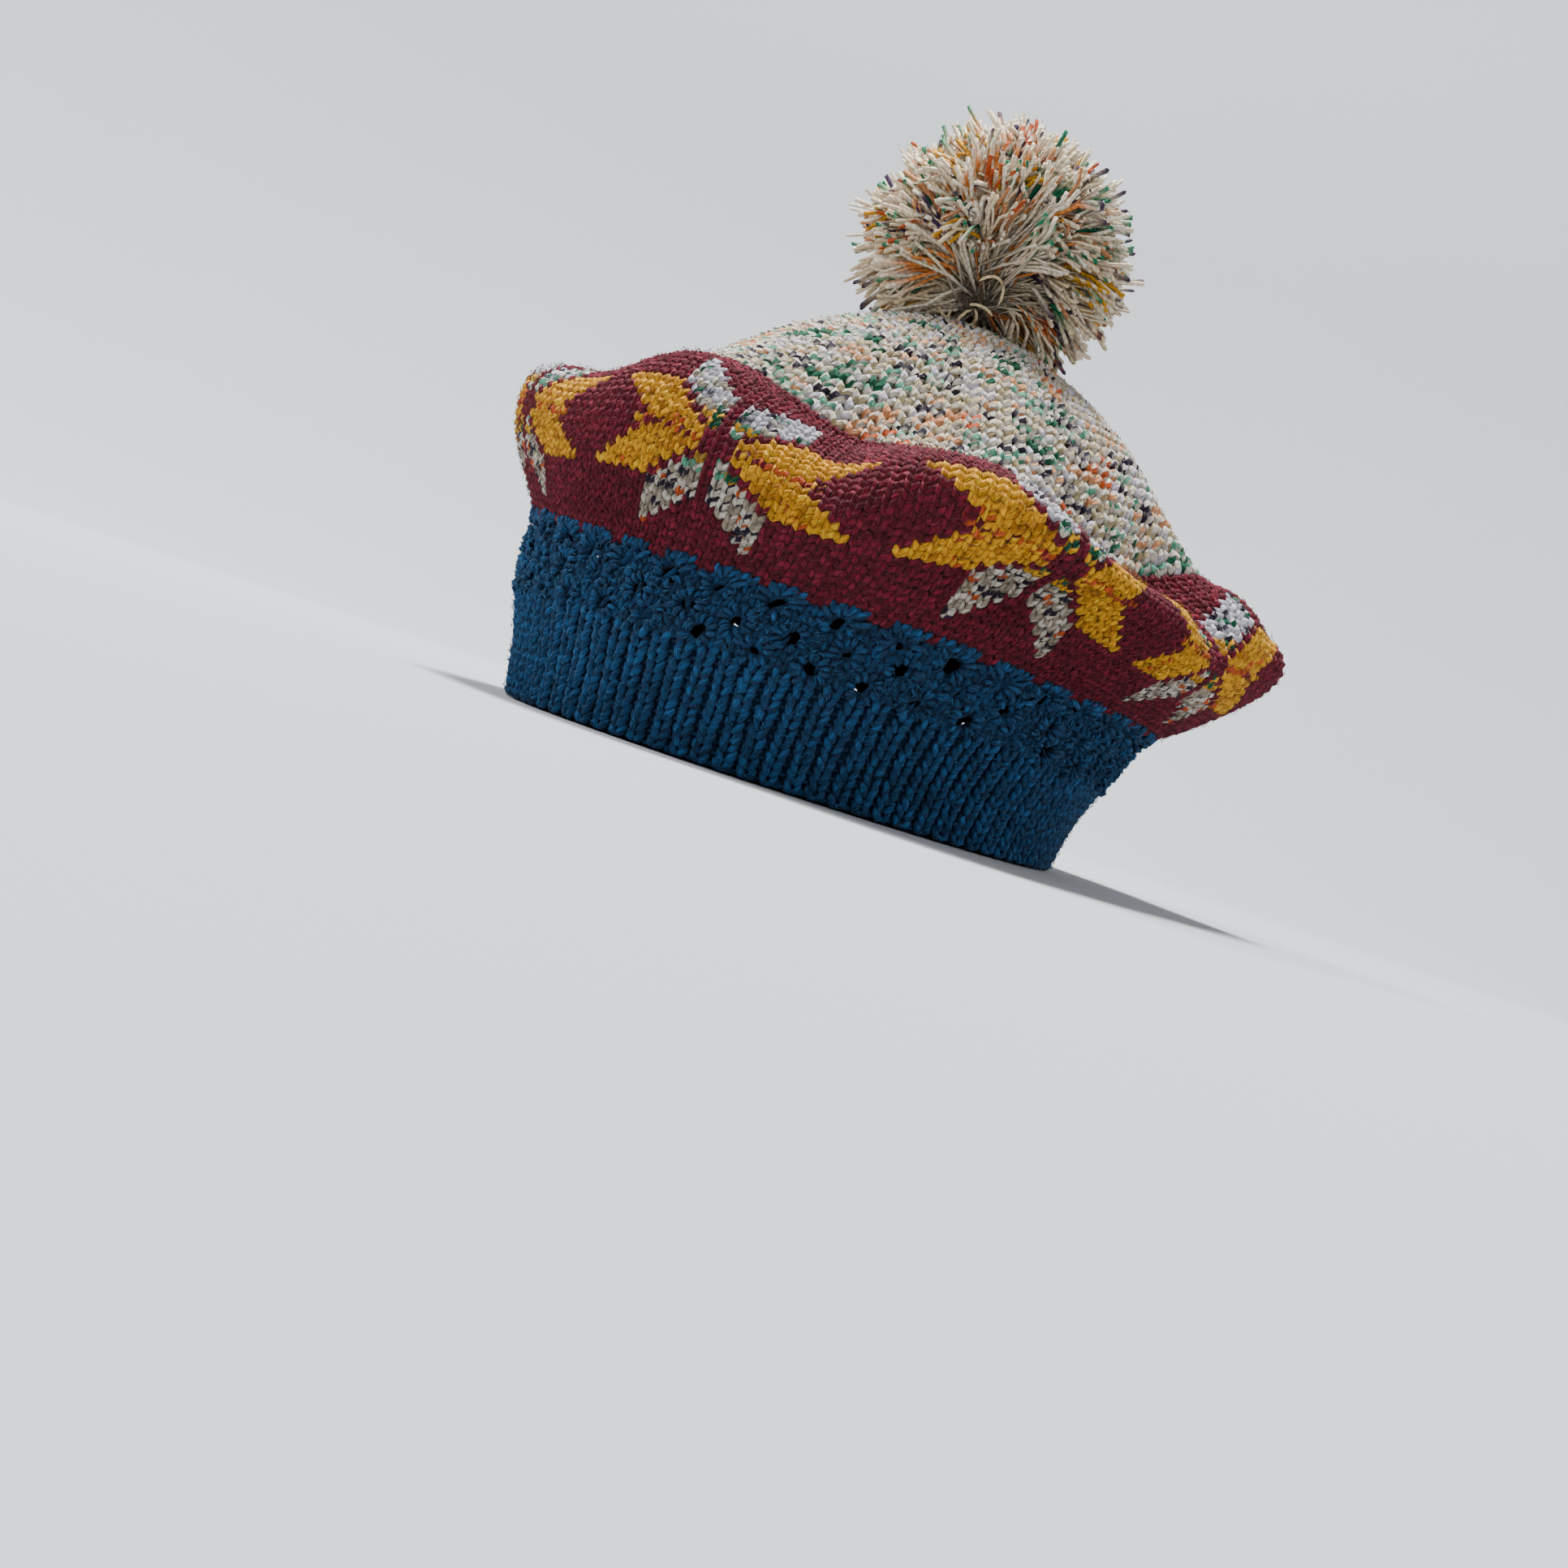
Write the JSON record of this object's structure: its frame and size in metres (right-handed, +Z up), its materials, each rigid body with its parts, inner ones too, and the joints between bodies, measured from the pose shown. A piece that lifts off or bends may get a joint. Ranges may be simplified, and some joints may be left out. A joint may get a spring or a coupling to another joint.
{
  "type": "knit beret with pompom",
  "caption": "Slouchy knit beret with a ribbed brim, an eyelet strip, a star-patterned side, a marled crown and a pompom, standing on its rim.",
  "frame": {"origin": "middle of the outline seen from above, at the height of the rim that the hat stands on", "axes": "+Z up from the rim to the pompom, -Y to the front of the hat, +X to the wearer's left"},
  "size_m": [0.2302, 0.2338, 0.2163],
  "materials": {
    "petrol_blue_yarn": "matte dyed wool in one by one rib",
    "petrol_blue_open_yarn": "matte dyed wool in eyelet openwork",
    "burgundy_patterned_yarn": "matte stranded wool, burgundy with mustard and cream stars",
    "cream_marl_yarn": "matte cream marl with green, orange and dark flecks",
    "cream_marl_pompom_yarn": "cut ends of the same marl yarn"
  },
  "bodies": {
    "root": {"ribbed_band": "petrol_blue_yarn", "openwork_band": "petrol_blue_open_yarn", "patterned_side": "burgundy_patterned_yarn", "crown_top": "cream_marl_yarn", "pompom": "cream_marl_pompom_yarn"}
  },
  "joints": []
}
